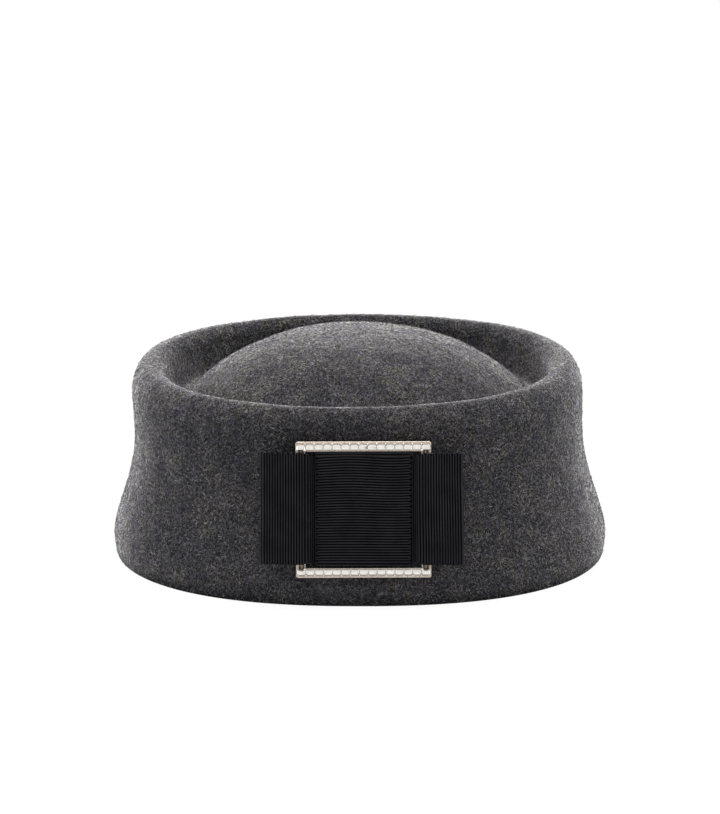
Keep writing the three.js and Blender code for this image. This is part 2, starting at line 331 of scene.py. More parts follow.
# Section of the channel as (distance from the opening, out), counter-clockwise seen along the bar
CHANNEL = (
    (0.0, BARS_BACK + 0.25),
    (0.25, BARS_BACK),
    (BUCKLE_BAR - 0.3, BARS_BACK),
    (BUCKLE_BAR, BARS_BACK + 0.3),
    (BUCKLE_BAR, BARS_FRONT - 0.75),
    (BUCKLE_BAR - 0.05, BARS_FRONT - 0.62),
    (BUCKLE_BAR - 0.16, BARS_FRONT - 0.54),
    (BUCKLE_BAR - 0.5, BARS_FRONT - 0.5),
    (BUCKLE_BAR - OUTER_RAIL + 0.06, BARS_FRONT - 0.52),
    (BUCKLE_BAR - OUTER_RAIL, BARS_FRONT - 0.6),
    (BUCKLE_BAR - OUTER_RAIL, CHANNEL_FLOOR),
    (INNER_RAIL, CHANNEL_FLOOR),
    (INNER_RAIL, BARS_FRONT - 0.68),
    (INNER_RAIL - 0.04, BARS_FRONT - 0.58),
    (INNER_RAIL - 0.08, BARS_FRONT - 0.56),
    (0.08, BARS_FRONT - 0.54),
    (0.04, BARS_FRONT - 0.56),
    (0.0, BARS_FRONT - 0.68),
)


# Meshes from arrays


def placed(name, data):
    """A new object in the scene."""
    piece = bpy.data.objects.new(name, data)
    bpy.context.scene.collection.objects.link(piece)
    return piece


def mesh_object(name, points, faces, uvs=None, smooth=True):
    """A mesh object from points in millimetres and faces that all have the same number of corners.

    The map, uvs, has a row for each corner of each face.
    """
    mesh = bpy.data.meshes.new(name)
    faces = np.asarray(faces, np.int32)
    count, corners = faces.shape
    mesh.vertices.add(len(points))
    mesh.vertices.foreach_set("co", (np.asarray(points) * MM).astype(np.float32).ravel())
    mesh.loops.add(count * corners)
    mesh.loops.foreach_set("vertex_index", faces.ravel())
    mesh.polygons.add(count)
    mesh.polygons.foreach_set("loop_start", np.arange(count, dtype=np.int32) * corners)
    mesh.polygons.foreach_set("use_smooth", np.full(count, smooth))
    if uvs is not None:
        layer = mesh.uv_layers.new(name=BAKE_MAP)
        layer.uv.foreach_set("vector", np.asarray(uvs, np.float32).ravel())
    mesh.update(calc_edges=True)
    return placed(name, mesh)


def grid_cells(rows, columns):
    """Row and column of each cell of a grid, row by row."""
    i, j = np.meshgrid(np.arange(rows), np.arange(columns), indexing="ij")
    return i.ravel(), j.ravel()


def grid_faces(rows, columns, close_rows=False):
    """Quads of a grid of points stored row by row, whose columns close on themselves."""
    i, j = grid_cells(rows if close_rows else rows - 1, columns)
    next_i, next_j = (i + 1) % rows, (j + 1) % columns
    return np.stack(
        [i * columns + j, i * columns + next_j, next_i * columns + next_j, next_i * columns + j], 1
    )


def grid_uvs(rows, columns):
    """Map places for grid_faces: the first axis runs along a row, the second across the rows."""
    i, j = grid_cells(rows - 1, columns)
    corners = [(j, i), (j + 1, i), (j + 1, i + 1), (j, i + 1)]
    return np.stack([np.stack([u / columns, v / (rows - 1)], 1) for u, v in corners], 1).reshape(-1, 2)


def joined_maps(parts, places):
    """The maps of a mesh's parts one above the other, each with its share of the height and its start."""
    return np.concatenate([uvs * [1, share] + [0, start] for uvs, (share, start) in zip(parts, places)])


def add_attribute(piece, name, values):
    """Gives each point of a piece a number that its material reads."""
    attribute = piece.data.attributes.new(name, "FLOAT", "POINT")
    attribute.data.foreach_set("value", values.astype(np.float32))


def units(vectors):
    """Vectors of length one with the same directions."""
    return vectors / np.maximum(np.linalg.norm(vectors, axis=-1, keepdims=True), 1e-9)


def ripple(points, wavelength, seed):
    """A smooth random height of about -1 to 1 at each point, as a sum of waves in random directions."""
    random = np.random.default_rng(seed)
    directions = units(random.normal(size=(RIPPLE_WAVES, 3)))
    lengths = wavelength * random.uniform(*RIPPLE_LENGTHS, RIPPLE_WAVES)
    phases = random.uniform(0, 2 * math.pi, RIPPLE_WAVES)
    total = np.cos(2 * math.pi * (points @ (directions / lengths[:, None]).T) + phases)
    return total.sum(-1) / math.sqrt(RIPPLE_WAVES) / RIPPLE_PEAK


# Felt shape


def steps(count):
    return (np.arange(count) + 1) / count


def wall_line(count):
    """The outside of the wall as (half width, height), on a smooth curve through the tables' rows."""
    rows = np.array([WALL_HALF_WIDTHS, WALL_HEIGHTS]).T
    last = len(rows) - 1
    at = np.arange(count + 1) * last / count
    i = np.minimum(at.astype(int), last)
    w = (at - i)[:, None]
    p0, p1 = rows[np.maximum(i - 1, 0)], rows[i]
    p2, p3 = rows[np.minimum(i + 1, last)], rows[np.minimum(i + 2, last)]
    v0, v1 = (p2 - p0) / 2, (p3 - p1) / 2
    return (2 * (p1 - p2) + v0 + v1) * w**3 + (3 * (p2 - p1) - 2 * v0 - v1) * w**2 + v0 * w + p1


def roll_line(count):
    angle = steps(count) * math.pi / 2
    power = 2 / ROLL_FULLNESS
    inward = ROLL_WIDTH * (1 - np.cos(angle).clip(0) ** power)
    up = (RIM_HEIGHT - SHOULDER_HEIGHT) * np.sin(angle) ** power
    return np.stack([WALL_HALF_WIDTHS[-1] - inward, SHOULDER_HEIGHT + up], 1)


def lip_line(count):
    angle = steps(count) * math.pi / 2
    crest = WALL_HALF_WIDTHS[-1] - ROLL_WIDTH
    return np.stack([crest - LIP * np.sin(angle), RIM_HEIGHT - LIP * (1 - np.cos(angle))], 1)


def dome_point(u):
    rise = (DOME_HEIGHT - MOAT_HEIGHT) * (1 - u**DOME_FULLNESS)
    return np.stack([MOAT_HALF_WIDTH * u, MOAT_HEIGHT + rise], -1)


def bezier(a, b, c, d, count):
    u = steps(count)[:, None]
    return (1 - u) ** 3 * a + 3 * (1 - u) ** 2 * u * b + 3 * (1 - u) * u**2 * c + u**3 * d


def moat_line(count, lip_end):
    share = 1 - MOAT_ROUNDING / MOAT_HALF_WIDTH
    foot = dome_point(share)
    fall = DOME_FULLNESS * (DOME_HEIGHT - MOAT_HEIGHT) * share ** (DOME_FULLNESS - 1)
    slope = fall / MOAT_HALF_WIDTH
    half = MOAT_ROUNDING / 2
    floor = np.array([MOAT_HALF_WIDTH + half, MOAT_HEIGHT + MOAT_FLOOR_LIFT])
    down = bezier(lip_end, lip_end - [0, LIP / 2], floor + [MOAT_RUN, 0], floor, count)
    up = bezier(floor, floor - [half, 0], foot + [half, -slope * half], foot, count)
    return np.concatenate([down, up])


def dome_line(count):
    share = 1 - MOAT_ROUNDING / MOAT_HALF_WIDTH
    return dome_point(share * (1 - steps(count)[:-1]))


def felt_profile():
    """Half width, height and share of the dome's oval at each ring of the outer skin, from the edge up."""
    lower = np.concatenate([wall_line(WALL_STEPS), roll_line(ROLL_STEPS), lip_line(LIP_STEPS)])
    moat = moat_line(MOAT_STEPS, lower[-1])
    line = np.concatenate([lower, moat, dome_line(DOME_STEPS)])
    share = np.clip((np.arange(len(line)) + 1 - len(lower)) / len(moat), 0, 1)
    return line, share


def felt_ring(line, moat_share, shift_y):
    """Rings of points: rows follow the line, columns go round the oval."""
    half_width, height = line[:, :1], line[:, 1:]
    moat_share = moat_share[:, None]
    share = np.minimum(1, height / RIM_HEIGHT)
    wall_squareness = BASE_SQUARENESS + (RIM_SQUARENESS - BASE_SQUARENESS) * share
    n = wall_squareness * (1 - moat_share) + DOME_SQUARENESS * moat_share
    stretch = (MOAT_HALF_WIDTH + EXTRA_HALF_LENGTH) / MOAT_HALF_WIDTH
    half_length = (half_width + EXTRA_HALF_LENGTH) * (1 - moat_share) + half_width * stretch * moat_share
    angle = 2 * math.pi * np.arange(SECTORS) / SECTORS
    across = np.abs(np.cos(angle)) / half_width
    along = np.abs(np.sin(angle)) / half_length
    radius = (across**n + along**n) ** (-1 / n)
    x = radius * np.cos(angle)
    y = radius * np.sin(angle) + shift_y
    return np.stack([x + RIM_SHIFT * share**RIM_SHIFT_POWER, y, height + share * RIM_SLOPE * x], -1)


def offset_line(line, distance):
    along = units(np.gradient(line, axis=0))
    return line + distance * np.stack([along[:, 1], -along[:, 0]], 1)


def grid_normals(points):
    """Unit normals of a grid whose columns close on themselves."""
    down = np.gradient(points, axis=0)
    wrapped = np.concatenate([points[:, -1:], points, points[:, :1]], axis=1)
    round_ = (wrapped[:, 2:] - wrapped[:, :-2]) / 2
    return units(np.cross(round_, down))


def felt_skins(shift_y):
    """The outer and inner skins as grids of points, from the bottom edge to near the top of the dome."""
    line, share = felt_profile()
    outer = felt_ring(line, share, shift_y)
    inner_line = offset_line(line, -FELT_THICKNESS)
    inner_line[0] = (line[0, 0] - FELT_THICKNESS, 0)
    keep = np.unique(np.append(np.arange(0, len(line), INNER_STRIDE), len(line) - 1))
    inner = felt_ring(inner_line[keep], share[keep], shift_y)
    normal = grid_normals(outer)
    away_from_edge = np.clip(outer[..., 2:] / RIPPLE_FADE, 0, 1)
    wave = sum(height * ripple(outer, length, seed) for height, length, seed in FELT_RIPPLES)
    outer = outer + normal * wave[..., None] * away_from_edge
    return outer, inner


def make_felt(outer, inner):
    """Both skins joined along the cut edge."""
    outer_rows, inner_rows = len(outer), len(inner)
    tops = [outer[-1].mean(0), inner[-1].mean(0)]
    points = np.concatenate([outer.reshape(-1, 3), inner[::-1].reshape(-1, 3), tops])
    last = (outer_rows + inner_rows - 1) * SECTORS
    j = np.arange(SECTORS)
    k = (j + 1) % SECTORS
    faces = np.concatenate([
        grid_faces(outer_rows, SECTORS),
        grid_faces(inner_rows, SECTORS) + outer_rows * SECTORS,
        np.stack([last + j, last + k, k, j], 1),
    ])
    maps = [grid_uvs(rows, SECTORS) for rows in (outer_rows, inner_rows, 2)]
    piece = mesh_object("felt_shell", points, faces, joined_maps(maps, FELT_MAPS))
    close_poles(piece, (outer_rows - 1) * SECTORS, outer_rows * SECTORS, len(points))
    return piece


def close_poles(piece, outer_ring, inner_ring, count):
    """Closes the small holes at the top of the dome with fans to the two last points."""
    work = bmesh.new()
    work.from_mesh(piece.data)
    work.verts.ensure_lookup_table()
    for ring, top, flip in ((outer_ring, count - 2, False), (inner_ring, count - 1, True)):
        for j in range(SECTORS):
            a, b = work.verts[ring + j], work.verts[ring + (j + 1) % SECTORS]
            corners = (b, a, work.verts[top]) if flip else (a, b, work.verts[top])
            work.faces.new(corners).smooth = True
    work.to_mesh(piece.data)
    work.free()


# Fibres


def surface_at(grid, i, j):
    """Points on a grid at fractional rows and columns; the columns close on themselves."""
    rows, columns = grid.shape[:2]
    i = np.clip(i, 0, rows - 1.001)
    j = np.mod(j, columns)
    i0, j0 = i.astype(int), j.astype(int)
    j1 = (j0 + 1) % columns
    u, v = (i - i0)[:, None], (j - j0)[:, None]
    lower = grid[i0, j0] * (1 - v) + grid[i0, j1] * v
    upper = grid[i0 + 1, j0] * (1 - v) + grid[i0 + 1, j1] * v
    return lower * (1 - u) + upper * u


def scattered(grid, count, random):
    """Rows and columns of random places on a grid, even over its area."""
    down = np.linalg.norm(np.diff(grid, axis=0), axis=2)
    round_ = np.linalg.norm(np.roll(grid, -1, axis=1) - grid, axis=2)[:-1]
    area = (down * round_).ravel()
    cell = random.choice(len(area), count, p=area / area.sum())
    i, j = np.divmod(cell, grid.shape[1])
    return i + random.random(count), j + random.random(count)


def make_fibres(name, grid, count, seed):
    """Short bent fibres that lie on the felt. Each is a closed spindle with one ring of three points."""
    random = np.random.default_rng(seed)
    normals = grid_normals(grid)
    i, j = scattered(grid, count, random)
    heading = random.uniform(0, 2 * math.pi, count)
    length = random.lognormal(math.log(FIBRE_LENGTH), FIBRE_SPREAD, count).clip(*FIBRE_LIMITS)
    paleness = random.random(count)
    width = random.uniform(*FIBRE_WIDTHS, count) * np.where(paleness > PALE_FROM, PALE_WIDENING, 1)
    loose = random.random(count) < LOOSE_SHARE
    lift = np.where(loose, random.uniform(*LOOSE_LIFTS, count), random.uniform(*LYING_LIFTS, count))
    bend = random.normal(0, FIBRE_BEND, count) * length
    i0, j0 = np.minimum(i.astype(int), len(grid) - 2), j.astype(int)
    size_i = np.linalg.norm(grid[i0 + 1, j0] - grid[i0, j0], axis=1)
    size_j = np.linalg.norm(grid[i0, (j0 + 1) % SECTORS] - grid[i0, j0], axis=1)

    def place(along, sideways, height):
        x = along * np.cos(heading) - sideways * np.sin(heading)
        y = along * np.sin(heading) + sideways * np.cos(heading)
        at = i + y / size_i, j + x / np.maximum(size_j, 0.02)
        return surface_at(grid, *at) + surface_at(normals, *at) * height[:, None]

    start = place(-length / 2, 0 * bend, np.full(count, ROOT_HEIGHT))
    middle = place(0 * bend, bend, MIDDLE_HEIGHT + lift * MIDDLE_LIFT)
    end = place(length / 2, bend * random.uniform(-0.5, 1.5, count), lift - TIP_DROP)
    along = units(end - start)
    side = units(np.cross(along, surface_at(normals, i, j)))
    up = np.cross(side, along)
    ring = []
    for k in range(3):
        turn = 2 * math.pi * k / 3 + math.pi / 2
        ring.append(middle + width[:, None] * (math.cos(turn) * side + math.sin(turn) * up))
    points = np.stack([start, *ring, end], 1).reshape(-1, 3)
    pattern = np.array([(0, 1, 2), (0, 2, 3), (0, 3, 1), (4, 2, 1), (4, 3, 2), (4, 1, 3)])
    faces = (np.arange(count)[:, None, None] * 5 + pattern).reshape(-1, 3)
    side_cells = math.ceil(math.sqrt(count))
    cell = np.stack([np.arange(count) % side_cells, np.arange(count) // side_cells], 1)
    corner = np.array([(0.2, 0.2), (0.8, 0.2), (0.5, 0.8)])
    uvs = (cell[:, None, None, :] + corner) / side_cells
    uvs = np.broadcast_to(uvs, (count, 6, 3, 2)).reshape(-1, 2)
    piece = mesh_object(name, points, faces, uvs)
    patches = ripple(middle, PATCH_LENGTH, seed + PATCH_SEED)
    shade = paleness * (1 - PATCH_SHARE) + PATCH_SHARE * patches
    add_attribute(piece, "shade", np.repeat(shade, 5))
    return piece


# Materials


class Nodes:
    """A short way to write a material's nodes."""

    def __init__(self, name):
        self.material = bpy.data.materials.new(name)
        self.material.use_nodes = True
        self.tree = self.material.node_tree
        self.shader = self.tree.nodes["Principled BSDF"]

    def add(self, kind, _settings=None, **inputs):
        node = self.tree.nodes.new("ShaderNode" + kind)
        for key, value in (_settings or {}).items():
            setattr(node, key, value)
        for key, value in inputs.items():
            self.set(node, key, value)
        return node

    def set(self, node, key, value):
        socket = node.inputs[int(key[1:])] if key[0] == "_" else node.inputs[key.replace("_", " ")]
        if isinstance(value, bpy.types.NodeSocket):
            self.tree.links.new(value, socket)
        else:
            socket.default_value = value

    def surface(self, **inputs):
        for key, value in inputs.items():
            self.set(self.shader, key, value)
        return self.material

    def math(self, operation, a, b):
        return self.add("Math", {"operation": operation}, _0=a, _1=b).outputs[0]

    def noise(self, vector, scale, detail, roughness):
        node = self.add("TexNoise", Vector=vector, Scale=scale, Detail=detail, Roughness=roughness)
        return node.outputs["Fac"]

    def attribute(self, name):
        return self.add("Attribute", {"attribute_name": name}).outputs["Fac"]

    def ramp(self, factor, *stops):
        node = self.add("ValToRGB", Fac=factor)
        elements = node.color_ramp.elements
        while len(elements) < len(stops):
            elements.new(0.5)
        for element, (position, colour) in zip(elements, stops):
            element.position = position
            element.color = (*colour, 1)
        return node.outputs["Color"]

    def range(self, value, low, high, to_low=0.0, to_high=1.0):
        limits = {"From_Min": low, "From_Max": high, "To_Min": to_low, "To_Max": to_high}
        return self.add("MapRange", Value=value, **limits).outputs["Result"]

    def mix(self, factor, a, b, blend="MIX", clamp=False):
        settings = {"blend_type": blend, "use_clamp": clamp}
        node = self.add("MixRGB", settings, Fac=factor, Color1=a, Color2=b)
        return node.outputs["Color"]

    def in_millimetres(self, stretch=(1, 1, 1)):
        place = self.add("TexCoord").outputs["Object"]
        scale = tuple(s / MM for s in stretch)
        return self.add("Mapping", Vector=place, Scale=scale).outputs[0]


def bent_place(n, place, reach, scale):
    """The place, pushed about by a soft noise so that straight patterns on it curl."""
    push = n.add("TexNoise", Vector=place, Scale=scale, Detail=1.0).outputs["Color"]
    return n.add("VectorMath", {"operation": "MULTIPLY_ADD"}, _0=push, _1=(reach,) * 3, _2=place).outputs[0]


def streaks(n, place, turn, tuft, cut):
    """Short tufts that lie along one direction: a stretched noise, cut off below a level."""
    turned = n.add("Mapping", Vector=place, Rotation=turn).outputs[0]
    narrow = n.add("Mapping", Vector=turned, Scale=tuft).outputs[0]
    return n.range(n.noise(narrow, 1.0, 1.0, 0.5), cut, cut + CUT_SOFTNESS)


def felt_material():
    """Charcoal wool: dark felt with curly pale tufts, blue-violet and olive patches and soft mottling."""
    n = Nodes("felt_wool")
    plain = n.in_millimetres(WOOL_GRAIN)
    curled = bent_place(n, plain, CURL_REACH, CURL_SCALE)
    pale, dim = 0.0, 0.0
    for number, turn in enumerate(TUFT_TURNS):
        pale_cut = PALE_CUT + PALE_CUT_STEP * (number % 3)
        pale = n.math("MAXIMUM", pale, streaks(n, curled, turn, PALE_TUFT, pale_cut))
        dim = n.math("MAXIMUM", dim, streaks(n, plain, turn, DIM_TUFT, DIM_CUT))
    mottle = n.noise(plain, *MOTTLE)
    cloud = n.noise(plain, *CLOUD)
    patch = n.math("ADD", n.math("MULTIPLY", mottle, 0.7), n.math("MULTIPLY", cloud, 0.3))
    speckle = n.noise(plain, *SPECKLE)
    hue = n.noise(plain, *HUE)
    bright = n.range(n.noise(plain, *GLINT), 0.34, 0.62, 0.35, 1.0)
    density = n.range(patch, 0.38, 0.62, 0.7, 1.0)
    shown = n.math("MULTIPLY", n.math("MULTIPLY", pale, bright), density)
    colour = n.mix(n.math("MULTIPLY", dim, 0.8), n.ramp(speckle, *FELT_GROUND), n.ramp(hue, *DIM_TINTS))
    colour = n.mix(shown, colour, n.ramp(hue, *PALE_TINTS))
    colour = n.mix(1.0, colour, n.ramp(patch, *FELT_WASH), "MULTIPLY")
    # Painted shade: the felt's colour darkens towards its bottom edge, by height
    height = n.add("SeparateXYZ", Vector=plain).outputs["Z"]
    shade = n.range(height, 0.0, PAINTED_EDGE_SHADE_HEIGHT, PAINTED_EDGE_SHADE, 1.0)
    colour = n.mix(1.0, colour, shade, "MULTIPLY")
    softened = n.add("Gamma", Color=colour, Gamma=SOFTENING).outputs[0]
    # Colour of the painted sheen that the felt takes where it is seen edge on
    edge_on_painted_sheen = n.mix(1.0, softened, (EDGE_ON_PAINTED_SHEEN,) * 3 + (1,), "MULTIPLY", True)
    sheen = n.mix(1.0, softened, (SHEEN,) * 3 + (1,), "MULTIPLY", True)
    tufts = n.math("MAXIMUM", shown, n.math("MULTIPLY", dim, 0.5))
    raised = n.math("ADD", tufts, n.math("MULTIPLY", speckle, 0.5))
    bump = n.add("Bump", Strength=0.5, Distance=0.14 * MM, Height=raised)
    # Painted sheen: the base colour turns lighter where the wool is seen edge on
    grazing = n.math("POWER", n.add("LayerWeight", Blend=0.5).outputs["Facing"], EDGE_ON_PAINTED_SHEEN_NARROWNESS)
    return n.surface(
        Base_Color=n.mix(grazing, colour, edge_on_painted_sheen),
        Roughness=0.95,
        Specular_IOR_Level=0.0,
        Sheen_Weight=0.5,
        Sheen_Roughness=0.26,
        Sheen_Tint=sheen,
        Normal=bump.outputs[0],
    )


def fibre_material():
    """Loose wool: most fibres are dark, some are blue or olive grey and a few are pale."""
    n = Nodes("felt_fibre")
    shade = n.attribute("shade")
    return n.surface(
        Base_Color=n.ramp(shade, *FIBRE_COLOURS),
        Roughness=0.8,
        Specular_IOR_Level=0.0,
        Sheen_Weight=0.4,
        Sheen_Roughness=0.4,
    )


def ribbon_material(name, along):
    """Black grosgrain: matt ribs with fine threads across them, a painted highlight along each rib's crest
    and painted shade in the valleys between.
    """
    n = Nodes(name)
    stretch = [3.0, 3.0, 3.0]
    stretch[along] = 14.0
    threads = n.noise(n.in_millimetres(stretch), 1.0, 2.0, 0.5)
    broad = n.noise(n.in_millimetres(), 0.16, 2.0, 0.5)
    crest = n.attribute("crest")
    level = n.math("ADD", n.math("MULTIPLY", threads, 0.6), n.math("MULTIPLY", broad, 0.4))
    # Painted shade darkens the valleys between the ribs, and a painted highlight lightens each crest
    colour = n.mix(n.range(crest, 0.6, 0.98), VALLEY_PAINTED_SHADE, n.ramp(level, *RIB_COLOURS))
    bump = n.add("Bump", Strength=0.4, Distance=0.06 * MM, Height=threads)
    return n.surface(
        Base_Color=colour,
        Roughness=n.range(threads, 0.3, 0.7, 0.6, 0.8),
        Specular_IOR_Level=0.02,
        Normal=bump.outputs[0],
    )


def metal_material(name, cool, warm):
    """Satin plating, warm in places, with faint wear, and darker towards the floor of its channel."""
    n = Nodes(name)
    wear = n.noise(n.in_millimetres(), 1.3, 3.0, 0.6)
    warmth = n.noise(n.in_millimetres(), 0.22, 1.0, 0.5)
    colour = n.mix(n.range(warmth, 0.4, 0.6), (*cool, 1), (*warm, 1))
    colour = n.mix(1.0, colour, n.ramp(wear, *WEAR_COLOURS), "MULTIPLY")
    # The floor of the channel takes a darker colour
    channel_floor_dark = n.attribute("channel_floor_dark")
    bump = n.add("Bump", Strength=0.15, Distance=0.05 * MM, Height=wear)
    return n.surface(
        Base_Color=n.mix(channel_floor_dark, colour, CHANNEL_FLOOR_DARK_COLOUR),
        Metallic=0.6,
        Roughness=n.range(wear, 0.3, 0.7, 0.22, 0.38),
        Normal=bump.outputs[0],
    )


def stone_material():
    """Clear cut stones with a silvered back."""
    n = Nodes("clear_stone")
    cloud = n.noise(n.in_millimetres(), 0.7, 2.0, 0.5)
    return n.surface(
        Base_Color=n.ramp(cloud, *STONE_COLOURS),
        Metallic=0.55,
        Roughness=n.range(cloud, 0.3, 0.7, 0.08, 0.16),
        Coat_Weight=0.6,
        Coat_Roughness=0.05,
    )


def floor_material():
    """A pale floor that glows, so that it shows white."""
    n = Nodes("pale_floor")
    grain = n.noise(n.add("TexCoord").outputs["Object"], 9.0, 3.0, 0.5)
    return n.surface(
        Base_Color=n.ramp(grain, *FLOOR_COLOURS),
        Roughness=0.85,
        Specular_IOR_Level=0.0,
        Emission_Color=(1, 1, 1, 1),
        Emission_Strength=FLOOR_GLOW,
    )


# Ribbon shapes in the plane of the bow: across to the right, up, and out from the felt


def loop_rows(reach):
    """Middle line of the ribbon round one loop as (across, out, rounding), from the waist out and back."""
    front, back = WAIST + RIBBON / 2, WAIST - RIBBON / 2
    return np.array([
        (0.0, front, 0.0),
        (17.9, front, 1.0),
        (20.1, OVER_BARS, 1.0),
        (25.2, OVER_BARS, 4.0),
        (reach, 2.9, 0.8),
        (reach, RIBBON / 2, 0.8),
        (19.9, RIBBON / 2, 0.8),
        (18.4, back, 0.8),
        (0.0, back, 0.0),
    ])


def rounded_line(rows):
    """Straight runs between the rows, with each corner rounded over its own length."""
    points = [rows[0, :2]]
    for before, corner, after in zip(rows[:-2], rows[1:-1], rows[2:]):
        start = corner[:2] + units(before[:2] - corner[:2]) * corner[2]
        end = corner[:2] + units(after[:2] - corner[:2]) * corner[2]
        u = np.linspace(0, 1, CORNER_STEPS)[:, None]
        points.extend((1 - u) ** 2 * start + 2 * (1 - u) * u * corner[:2] + u**2 * end)
    points.append(rows[-1, :2])
    return np.array(points)


def closed_run(outline):
    """A closed outline as points an even distance apart, with the distance of each and the whole length."""
    line = np.concatenate([outline, outline[:1]])
    run = np.concatenate([[0], np.cumsum(np.linalg.norm(np.diff(line, axis=0), axis=1))])
    count = int(round(run[-1] / (RIB_PITCH / SAMPLES_A_RIB)))
    at = np.linspace(0, run[-1], count + 1)
    even = np.stack([np.interp(at, run, line[:, k]) for k in range(2)], 1)
    return even[:-1], at[:-1], at[-1]


def ribbon_solid(name, inner, outer, crest):
    """A closed ribbon from two skins, rows across the ribbon and columns round its closed length."""
    rows, columns = inner.shape[:2]
    points = np.concatenate([inner.reshape(-1, 3), outer.reshape(-1, 3)])
    quads = grid_faces(rows, columns)
    shift = rows * columns
    last = (rows - 1) * columns
    j = np.arange(columns)
    k = (j + 1) % columns
    low = np.stack([j + shift, k + shift, k, j], 1)
    high = np.stack([last + j, last + k, last + k + shift, last + j + shift], 1)
    faces = np.concatenate([quads, quads[:, ::-1] + shift, low, high])
    front = grid_uvs(rows, columns)
    back = front.reshape(-1, 4, 2)[:, ::-1].reshape(-1, 2)
    strip = grid_uvs(2, columns)
    piece = mesh_object(name, points, faces, joined_maps([front, back, strip, strip], RIBBON_MAPS))
    add_attribute(piece, "crest", np.tile(crest.ravel(), 2))
    return piece


def at_height(outline, out):
    """The points of a flat outline, all this far out."""
    return np.column_stack([outline, np.full(len(outline), out)])


def rounded_rectangle(half_width, half_height, radius, corner_steps, side_steps):
    """A closed counter-clockwise outline from the middle of its right side."""
    sides = []
    centres = ((1, 1), (-1, 1), (-1, -1), (1, -1))
    for quarter, (sx, sy) in enumerate(centres):
        angle = (quarter + np.arange(corner_steps + 1) / corner_steps) * math.pi / 2
        x = sx * (half_width - radius) + radius * np.cos(angle)
        y = sy * (half_height - radius) + radius * np.sin(angle)
        sides.append(np.stack([x, y], 1))
    outline = []
    for quarter, corner in enumerate(sides):
        following = sides[(quarter + 1) % 4][0]
        outline.extend(corner)
        u = (np.arange(side_steps) + 1) / (side_steps + 1)
        outline.extend(corner[-1] + (following - corner[-1]) * u[:, None])
    return np.array(outline)


def edge_rows(half, inner_count):
    """Places across a ribbon, close together near its round edges, with the share of its thickness there."""
    angle = np.linspace(math.pi / 2, 0, ROUND_STEPS, endpoint=False)
    tip = half - EDGE_ROUND + EDGE_ROUND * np.sin(angle)
    near = half - EDGE_ROUND - np.array(EDGE_STEPS)
    reach = near[-1] - MIDDLE_START
    middle = np.linspace(-reach, reach, inner_count)
    high = np.concatenate([tip, near])
    places = np.concatenate([-high, middle, high[::-1]])
    shares = np.concatenate([np.cos(angle), np.ones(len(near))])
    shares = np.concatenate([shares, np.ones(inner_count), shares[::-1]])
    return places, np.maximum(shares, THINNEST)


def woven_skins(line, ribs, half, inner_count, scallop):
    """Both skins of a grosgrain ribbon along a closed line, and how near each point is to a rib's crest.

    It takes the number of ribs up to each point of the line, and the ribs join in pairs at both edges.
    Each skin is a grid of (across, line x, line y).
    """
    places, shares = edge_rows(half, inner_count)
    near = np.clip((np.abs(places) - (half - SELVEDGE)) / SELVEDGE, 0, 1)[:, None]
    pair = np.mod(ribs / 2, 1)[None, :] - 0.5
    part = np.mod(ribs, 1)[None, :] * 2 - 1
    crest = 1 - np.abs(part) ** RIB_SQUARENESS
    joined = near**2 * np.exp(-((pair / PAIR_WIDTH) ** 2))
    parted = near**2 * np.exp(-(((np.abs(pair) - 0.5) / PAIR_WIDTH) ** 2))
    crest = np.clip(np.maximum(crest, joined * JOINED_RIBS) * (1 - parted), 0, 1)
    across = places[:, None] * (1 - scallop / half * near * np.abs(2 * pair) ** 3)
    along = -PAIRING * 2 * RIB_PITCH * near**2 * np.sin(2 * math.pi * pair)
    height = (CLOTH / 2 + RIB_HEIGHT * crest) * shares[:, None]
    tangent = units(np.roll(line, -1, axis=0) - np.roll(line, 1, axis=0))
    normal = np.stack([-tangent[:, 1], tangent[:, 0]], 1)
    centre = line + along[..., None] * tangent
    skins = []
    for sign in (1, -1):
        point = centre + sign * height[..., None] * normal
        skins.append(np.concatenate([across[..., None], point], axis=2))
    return skins[0], skins[1], crest


def make_loops():
    """Both loops as one length of ribbon: front layer, back layer and the two folds, each along a rib."""
    right = rounded_line(loop_rows(RIGHT_REACH))
    left = rounded_line(loop_rows(LEFT_REACH))
    left[:, 0] *= -1
    line, run, length = closed_run(np.concatenate([right, left[::-1][1:-1]]))
    fold = run[line[:, 0].argmax()], run[line[:, 0].argmin()]
    behind = round((fold[1] - fold[0]) / RIB_PITCH)
    whole = 2 * round(length / RIB_PITCH / 2)
    marks = (fold[1] - length, fold[0], fold[1], fold[0] + length)
    ribs = np.interp(run, marks, (behind - whole, 0, behind, whole)) + 0.5
    inner, outer, crest = woven_skins(line, ribs, LOOP_HEIGHT / 2, LOOP_ROWS, LOOP_SCALLOP)
    for skin in (inner, outer):
        up, across, out = np.moveaxis(skin.copy(), -1, 0)
        share = up / (LOOP_HEIGHT / 2)
        to_right = (across + LEFT_REACH) / (LEFT_REACH + RIGHT_REACH)
        drawn_in = GATHER * np.clip((GATHER_END - np.abs(across)) / GATHER_RUN, 0, 1)
        droop = LOOP_DROOP * np.clip(across / RIGHT_REACH, 0, 1)
        sway_at = np.stack([across * 0.4, up, out * 0.1], -1)
        sway = LOOP_SWAY * ripple(sway_at, DENT_LENGTH, SWAY_SEED)
        front = np.clip((out - SWAY_START) / SWAY_RUN, 0, 1)
        dent_at = np.stack([across, up, 0 * out], -1)
        skin[..., 0] = across - LOOP_SHEAR * share * to_right + sway * front
        skin[..., 1] = up - drawn_in * share + LOOP_LIFT - droop
        skin[..., 2] = out + DENT_DEPTH * ripple(dent_at, DENT_LENGTH, DENT_SEED)
    return ribbon_solid("ribbon_loops", inner, outer, crest), length


